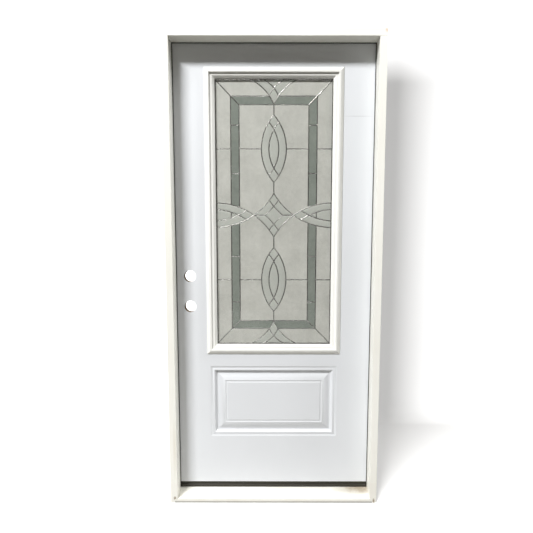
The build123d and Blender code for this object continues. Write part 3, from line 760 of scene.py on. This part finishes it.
# %% Lite frames
LITE_FLAT, LITE_DEPTH = 11, 46
LITE_SECTION = [(0, 0), (0, 2.2), (15, LITE_FLAT), (22, LITE_FLAT), (24, 2.6), (34.5, 1.6),
                (LITE_DEPTH, -9.2), (LITE_DEPTH, -9.5), (24, -9.5), (24, 0)]
lite_outline = rounded(np.array(LITE_SECTION, float) * MM, 1.2 * MM, 4)
lite_faces = [grid_faces(4, len(lite_outline), wrap_rows=True, wrap_columns=True)]

for node, outward in (("lite_frame_exterior", -1), ("lite_frame_interior", 1)):
    low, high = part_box(node)
    face_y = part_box("exterior_skin")[0].y if outward < 0 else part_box("interior_skin")[1].y
    ring = mitred_ring(lite_outline, high.x - low.x, high.z - low.z, (low.z + high.z) / 2, face_y, outward)
    piece = face_outwards(mesh_object(node + "_moulded", ring, lite_faces, 30.0))
    show(piece, "door", lite_plastic, (node,))
print("lite frame outline points", len(lite_outline))

# %% [markdown]
# The cames
#
# A came is a metal strip with a rounded crown that grips the glass on both sides. The pattern is drawn once
# for its right upper quarter, as straight lines and as arcs through three points, and mirrored to the other
# quarters. Some arcs run on past the middle. A stroke that is its own mirror image is made once. Each stroke
# becomes a tube with an oval section. Where strokes meet, a flat drop of solder covers the joint. A wider
# came runs round the whole panel, behind the lite frame. The pattern's measures are those of the solids.

# %% The leaded pattern
low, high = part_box("lite_frame_exterior")
centre_z = (low.z + high.z) / 2
sight_x = (high.x - low.x) / 2 - LITE_DEPTH * MM
sight_z = (high.z - low.z) / 2 - LITE_DEPTH * MM
band_x, band_z = sight_x - 69 * MM, sight_z - 71 * MM
inner_x, inner_z = band_x - 37.5 * MM, band_z - 37.5 * MM
star_x, star_z, star_core = 90 * MM, 98 * MM, 39.8 * MM
lens_top, lens_low = inner_z - 43.5 * MM, star_z + 48.5 * MM
lens_z, lens_x = (lens_top + lens_low) / 2, 56 * MM
lens_rise = (lens_top - lens_low) / 2 - 30.5 * MM


def circle_through(points):
    """Centre and radius of the circle through three points, from two equal-distance equations."""
    a, b, c = np.asarray(points, float)
    rows = 2 * np.array([b - a, c - a])
    centre = np.linalg.solve(rows, np.array([b @ b - a @ a, c @ c - a @ a]))
    return centre, float(np.linalg.norm(a - centre))


def height_on(points, x):
    """The upper height at x on the circle through three points."""
    (middle_x, middle_z), radius = circle_through(points)
    return middle_z + math.sqrt(radius**2 - (x - middle_x) ** 2)


fish = ((sight_x, 55 * MM), (star_x, 0), (0, -star_z))
fish_end = star_x + 34 * MM
fish_inner = ((sight_x, 26 * MM), (inner_x + 5 * MM, 0), (fish_end, -height_on(fish, fish_end)))
star_end = 20.5 * MM
star = ((star_core, 0), (0, star_core), (-star_end, -height_on(fish, star_end)))
fan = ((106 * MM, sight_z), (20 * MM, band_z), (0, inner_z))
fan_inner = ((51 * MM, sight_z), (0, sight_z - 37 * MM), (-20 * MM, band_z))
lens = ((0, lens_top), (lens_x, lens_z), (0, lens_low))
(lens_middle_x, _), lens_radius = circle_through(lens)
lens_end = lens_middle_x + math.sqrt(lens_radius**2 - lens_rise**2)
lens_inner = ((-lens_end, lens_z + lens_rise), (22 * MM, lens_z), (-lens_end, lens_z - lens_rise))
arcs = (fish, fish_inner, star, fan, fan_inner, lens, lens_inner)
lines = (
    ((band_x, height_on(fish, band_x)), (band_x, band_z)),
    ((band_x, band_z), (20 * MM, band_z)),
    ((band_x, 0), (band_x, height_on(fish_inner, band_x))),
    ((inner_x, height_on(fish, inner_x)), (inner_x, inner_z)),
    ((inner_x, inner_z), (0, inner_z)),
    ((sight_x, sight_z), (band_x, band_z)),
    ((band_x, band_z), (inner_x, inner_z)),
    ((inner_x, 186 * MM), (band_x, 186 * MM)),
    ((inner_x, inner_z - 87 * MM), (band_x, inner_z - 87 * MM)),
    ((band_x, lens_z), (sight_x, lens_z)),
    ((lens_x, lens_z), (inner_x, lens_z)),
    ((0, star_z), (0, lens_low)),
    ((0, lens_top), (0, inner_z)),
    ((star_x, 0), (star_core, 0)),
)
print("strokes in a quarter", len(arcs) + len(lines), "half sizes", round(sight_x, 4), round(sight_z, 4))


# %% Strokes, tubes and solder
CAME_WIDTH, CAME_THICKNESS = 6.4 * MM, 5.2 * MM
EDGE_CAME_WIDTH = 9.5 * MM
SOLDER_RADIUS, SOLDER_RISE = 3.9 * MM, 1.12
ARC_STEP = 6 * MM
TUBE_SIDES = 16
low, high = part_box("came_lattice")
came_y = (low.y + high.y) / 2
edge_x, edge_z = (high.x - low.x) / 2, (high.z - low.z) / 2


def arc_points(points):
    """Points along the arc from the first point through the second to the third, about ARC_STEP apart."""
    points = np.asarray(points, float)
    centre, radius = circle_through(points)
    angle = np.arctan2(*(points - centre).T[::-1])
    sweep_to_middle = (angle[1] - angle[0] + math.pi) % (2 * math.pi) - math.pi
    whole = (angle[2] - angle[0]) % (2 * math.pi)
    whole = whole if sweep_to_middle > 0 else whole - 2 * math.pi
    count = max(int(abs(whole) * radius / ARC_STEP), 6)
    turn = angle[0] + np.linspace(0, whole, count + 1)
    return centre + radius * np.stack([np.cos(turn), np.sin(turn)], axis=1)


def came_tube(path, width):
    """An oval tube along a flat path: its points, its side faces and its end faces.

    Across is half the width times cos(a) and out is half the thickness times sin(a), so the crown is round.
    """
    along = np.gradient(path, axis=0)
    along /= np.linalg.norm(along, axis=1)[:, None]
    across = np.stack([-along[:, 1], along[:, 0]], axis=1)
    a = np.linspace(0, 2 * math.pi, TUBE_SIDES, endpoint=False)
    flat = path[:, None, :] + width / 2 * np.cos(a)[None, :, None] * across[:, None, :]
    out = np.broadcast_to(came_y - CAME_THICKNESS / 2 * np.sin(a)[None, :], flat.shape[:2])
    points = np.stack([flat[:, :, 0], out, flat[:, :, 1] + centre_z], axis=2).reshape(-1, 3)
    return points, *tube_faces(len(path), TUBE_SIDES)


def solder_drop(place):
    """A flat drop on both faces: a squashed ball, its radius times cos(v) across and its rise sin(v) out."""
    v = np.linspace(-math.pi / 2, math.pi / 2, 9)[1:-1, None]
    a = np.linspace(0, 2 * math.pi, TUBE_SIDES, endpoint=False)[None, :]
    x = place[0] + SOLDER_RADIUS * np.cos(v) * np.cos(a)
    z = place[1] + SOLDER_RADIUS * np.cos(v) * np.sin(a) + centre_z
    out = np.broadcast_to(came_y - CAME_THICKNESS / 2 * SOLDER_RISE * np.sin(v), x.shape)
    points = np.stack([x, out, z], axis=2).reshape(-1, 3)
    return points, *tube_faces(len(v), TUBE_SIDES)


strokes = [arc_points(points) for points in arcs] + [np.linspace(a, b, 5) for a, b in lines]
mirrors = [np.array(m, float) for m in ((1, 1), (-1, 1), (1, -1), (-1, -1))]
pieces = []
joints = set()
for stroke in strokes:
    three = stroke[[0, len(stroke) // 3, -1]]
    images = {tuple(np.sort((three * m).round(5), 0).ravel()): stroke * m for m in mirrors}
    for image in images.values():
        pieces.append(came_tube(image, CAME_WIDTH))
        joints.update(tuple(end) for end in image[[0, -1]].round(4))
for x, z in ((1, 0), (-1, 0), (0, 1), (0, -1)):
    middle = np.array([x * (edge_x - EDGE_CAME_WIDTH / 2), z * (edge_z - EDGE_CAME_WIDTH / 2)])
    half = np.array([abs(z) * edge_x, abs(x) * edge_z])
    pieces.append(came_tube(np.linspace(middle - half, middle + half, 5), EDGE_CAME_WIDTH))
pieces += [solder_drop(place) for place in sorted(joints)
           if abs(place[0]) < sight_x - MM and abs(place[1]) < sight_z - MM]
shifts = np.cumsum([0] + [len(piece[0]) for piece in pieces])
all_points = np.vstack([piece[0] for piece in pieces])
all_faces = [piece[kind] + shift for kind in (1, 2) for piece, shift in zip(pieces, shifts)]
cames = face_outwards(mesh_object("cames", all_points, all_faces, 60.0))
show(cames, "door", came, ("came_lattice",))
print("came pieces", len(pieces), "points", len(all_points))

# %% [markdown]
# Bevelled glass
#
# The lenses, the star and the fans are cut from thicker glass, and each piece is ground to a slope all
# round. The solids are flat, so a copy of them gets its front and back faces drawn in by a few millimetres
# and lifted, which leaves a sloping rim between the came and the flat. The rims catch the light one by one.

# %% Bevelled pieces
RIM_WIDTH, RIM_RISE = 4.5 * MM, 0.8 * MM
bevelled = merged_copy("bevel_glass", "bevel_glass_cut")
work = bmesh.new()
work.from_mesh(bevelled.data)
flats = [face for face in work.faces if abs(face.normal.y) > 0.99]
bmesh.ops.inset_individual(work, faces=flats, thickness=RIM_WIDTH, depth=RIM_RISE, use_even_offset=True)
work.to_mesh(bevelled.data)
work.free()
bevelled.data.polygons.foreach_set("use_smooth", np.zeros(len(bevelled.data.polygons), bool))
show(bevelled, "door", bevel, ("bevel_glass",))
print("bevelled faces", len(flats))

# %% [markdown]
# The sweep
#
# Under the leaf a black vinyl profile closes the gap to the cap. Its three fins get thinner downwards and
# bend a little, the last one the other way, so that none stands out past the base. The solid has straight
# fins; here each is a curved blade, carried along the leaf.

# %% Door sweep
BASE_HEIGHT = 4.5 * MM
FIN_COUNT, FIN_THICKNESS = 3, 2.4 * MM
FIN_BEND, FIN_TAPER = 1.1 * MM, 0.45
low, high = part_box("door_sweep")
base_low = high.z - BASE_HEIGHT
base_section = np.array([(low.y, high.z), (high.y, high.z), (high.y, base_low), (low.y, base_low)])
sweep_parts = [prism("sweep_base", rounded(base_section, 0.6 * MM, 3), low.x, high.x, (2, 0, 1))]
t = np.linspace(0, 1, 9)
fall = high.z - BASE_HEIGHT / 2 - low.z
line_z = high.z - BASE_HEIGHT / 2 - fall * t
half = FIN_THICKNESS / 2 * (1 - FIN_TAPER * t)
for fin in range(FIN_COUNT):
    start = low.y + FIN_THICKNESS / 2 + fin * (high.y - low.y - FIN_THICKNESS) / (FIN_COUNT - 1)
    bend = FIN_BEND * t**2 * (-1 if fin == FIN_COUNT - 1 else 1)
    near, far = (np.stack([start + bend + way * half, line_z], axis=1) for way in (-1, 1))
    blade = np.vstack([near, far[::-1]])
    sweep_parts.append(prism(f"sweep_fin_{fin}", blade, low.x, high.x, (2, 0, 1)))
with bpy.context.temp_override(active_object=sweep_parts[0], selected_editable_objects=sweep_parts):
    bpy.ops.object.join()
joined = sweep_parts[0]
joined.name = "sweep"
show(joined, "door", sweep, ("door_sweep",))
print("sweep faces", len(joined.data.polygons))

# %% [markdown]
# Screws
#
# Each hinge leaf is held by four countersunk screws, and the inner lite frame by screws under small plastic
# plugs. A head is a disc whose height falls with the square of the distance from its middle, and a screw has
# a cross pressed into it. All heads of a kind are worked out at once, as one grid of points for each place.

# %% Screw heads and plugs
HINGE_PITCH = 723.9 * MM
LEAF_EDGE_X, JAMB_FACE_X = 454.0 * MM, 459.0 * MM
SCREW_RADIUS, SCREW_DOME, SCREW_CROSS = 4.2 * MM, 0.15 * MM, 0.9 * MM
SCREW_PLACES = ((112, 38), (122, 13), (122, -13), (112, -38))
PLUG_RADIUS, PLUG_DOME = 5.2 * MM, 0.7 * MM
PLUG_INSET, PLUG_SHARE, PLUG_ACROSS = 18.5 * MM, 2.2, 0.12


def heads(name, places, out, radius, dome, cross):
    """Round heads at many places, facing out: height = dome (1 - r^2 / R^2), less a cross of a given depth.

    The cross is there where one of the two sideways distances is under 0.16 of the radius and r is under 0.6
    of it. A last ring goes one millimetre into the piece, so that every head is closed.
    """
    out = np.array(out, float)
    up = np.array([0.0, 0.0, 1.0])
    across = np.cross(up, out)
    r = radius * np.append(np.linspace(0.08, 1, 9), 1.0)[:, None]
    a = np.linspace(0, 2 * math.pi, 24, endpoint=False)[None, :]
    u, v = r * np.cos(a), r * np.sin(a)
    narrow = np.minimum(abs(u), abs(v)) < 0.16 * radius
    rise = dome * (1 - (r / radius) ** 2) - cross * (narrow & (r < 0.6 * radius))
    rise[-1] = -1.0 * MM
    flat = u[..., None] * across + v[..., None] * up + rise[..., None] * out
    points = np.asarray(places, float)[:, None, None, :] + flat[None]
    rows, sides = u.shape
    shifts = (np.arange(len(points)) * rows * sides)[:, None, None]
    faces = [(group + shifts).reshape(-1, group.shape[1]) for group in tube_faces(rows, sides)]
    return face_outwards(mesh_object(name, points, faces, 40.0))


low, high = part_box("door_hinge_leaves")
middle_hinge = (low.z + high.z) / 2
screw_spots = [(y * MM, k * HINGE_PITCH + z * MM) for k in (-1, 0, 1) for y, z in SCREW_PLACES]
for body, face_x, way in (("door", LEAF_EDGE_X, 1.0), ("frame", JAMB_FACE_X, -1.0)):
    places = [(face_x, y, middle_hinge + z) for y, z in screw_spots]
    screws = heads(body + "_hinge_screws", places, (way, 0, 0), SCREW_RADIUS, SCREW_DOME, SCREW_CROSS)
    show(screws, body, steel)
low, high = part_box("lite_frame_interior")
plug_x = (high.x - low.x) / 2 - PLUG_INSET
plug_z = (high.z - low.z) / 2 - PLUG_INSET
plug_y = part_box("interior_skin")[1].y + LITE_FLAT * MM
plug_spots = [(x, plug_y, centre_z + k * plug_z / PLUG_SHARE)
              for x in (-plug_x, plug_x) for k in (-2, -1, 0, 1, 2)]
plug_spots += [(x, plug_y, centre_z + z) for z in (-plug_z, plug_z) for x in (-PLUG_ACROSS, PLUG_ACROSS)]
plugs = heads("lite_screw_plugs", plug_spots, (0, 1, 0), PLUG_RADIUS, PLUG_DOME, 0.0)
show(plugs, "door", lite_plastic)
print("hinge screws", 2 * len(screw_spots), "plugs", len(plug_spots))

# %% [markdown]
# What stays as it was drawn
#
# The rest of the solids already have the right shape. They only get their finish: raw pine for the stiles
# and rails, wood darkened as painted shade inside the bores for the lock block, and glass, metal and steel
# where those belong.

# %% Finishes for the solids that stay
kept = {
    "lock_stile": pine, "hinge_stile": pine, "top_rail": pine, "bottom_rail": pine, "lock_block": bore_wood_painted_shade,
    "outer_pane": pane_glass, "inner_pane": pane_glass, "glass_spacer": spacer,
    "field_glass": field, "border_glass": border,
    "frame_hinge_leaves": steel, "door_hinge_leaves": steel, "hinge_pins": steel,
}
for node, finish in kept.items():
    coat(nodes[node], finish)
print("solids kept", len(kept))

# %% [markdown]
# The floor
#
# The door stands on a pale floor, with a pale wall behind it that is just out of the opening leaf's way. For
# rays from the camera and through glass, part of their colour is plain white light, so the ground looks
# white while the shadow stays. For other rays they are darker, so that little light comes up from them. The
# photograph's shadow falls softly to the right. So the ground has a low lamp of its own, linked to nothing
# else, and the two lamps that light the door leave the ground out.

# %% Floor and backdrop
FLOOR_COLOUR = (0.90, 0.90, 0.90)
FLOOR_BOUNCE = (0.012, 0.011, 0.0095)
MAT_BOUNCE = (0.20, 0.194, 0.182)
WALL_BOUNCE = (0.55, 0.54, 0.52)
SELF_WHITE = 0.41
GROUND_PLACE = Vector((-0.93, -3.0, 1.41))
GROUND_AIM = Vector((0.3, 1.3, 1.2))
GROUND_SIZE = (1.3, 0.8)
GROUND_POWER = 560.0


def stage_finish(name):
    """Pale matte paint that looks nearly white and still takes shadows. Its back is see-through."""
    paint = Finish(name, FLOOR_COLOUR, 0.9, specular=0.1)
    path = paint.add("ShaderNodeLightPath").outputs
    seen = paint.maths("MAXIMUM", path["Is Camera Ray"], path["Is Transmission Ray"])
    mat = paint.spot((0.0, -0.5, 0.0), (1.0, 0.8, 1.0), 0.5)
    behind = paint.between(paint.along("Y"), 0.4, 0.9)
    bounce = paint.blend(paint.blend(FLOOR_BOUNCE, MAT_BOUNCE, mat), WALL_BOUNCE, behind)
    paint.colour(bounce, FLOOR_COLOUR, seen)
    glow = paint.fill(paint.add("ShaderNodeEmission"), Color=(1, 1, 1, 1)).outputs[0]
    front = paint.mix(paint.maths("MULTIPLY", seen, SELF_WHITE), paint.shader.outputs[0], glow)
    backfacing = paint.add("ShaderNodeNewGeometry").outputs["Backfacing"]
    paint.surface(paint.mix(backfacing, front, paint.add("ShaderNodeBsdfTransparent").outputs[0]))
    return paint


FLOOR_HALF, WALL_DISTANCE, WALL_HEIGHT, COVE = 7.0, 1.3, 7.0, 0.2
turn = np.linspace(0, math.pi / 2, 13)
curve = np.stack([WALL_DISTANCE - COVE + COVE * np.sin(turn), COVE - COVE * np.cos(turn)], axis=1)
stage_line = np.vstack([[(-FLOOR_HALF, 0.0)], curve, [(WALL_DISTANCE, WALL_HEIGHT)]])
stage_points = np.stack([np.insert(stage_line, 0, x, axis=1) for x in (-FLOOR_HALF, FLOOR_HALF)])
floor = mesh_object("studio_floor", stage_points, [grid_faces(2, len(stage_line))])
if floor.data.polygons[0].normal.z < 0:
    floor.data.flip_normals()
coat(floor, stage_finish("studio_white"))


def link_to_ground(lamp, state):
    """Let a lamp light the ground alone, or everything but the ground."""
    group = bpy.data.collections.new(lamp.name + "_and_ground")
    group.objects.link(floor)
    lamp.light_linking.receiver_collection = group
    group.collection_objects[0].light_linking.link_state = state


link_to_ground(key, "EXCLUDE")
link_to_ground(side, "EXCLUDE")
ground_lamp = add_lamp("ground", GROUND_PLACE, GROUND_AIM, GROUND_SIZE, GROUND_POWER)
link_to_ground(ground_lamp, "INCLUDE")
print("floor to wall", WALL_DISTANCE)

# %% Update the scene
bpy.context.view_layer.update()
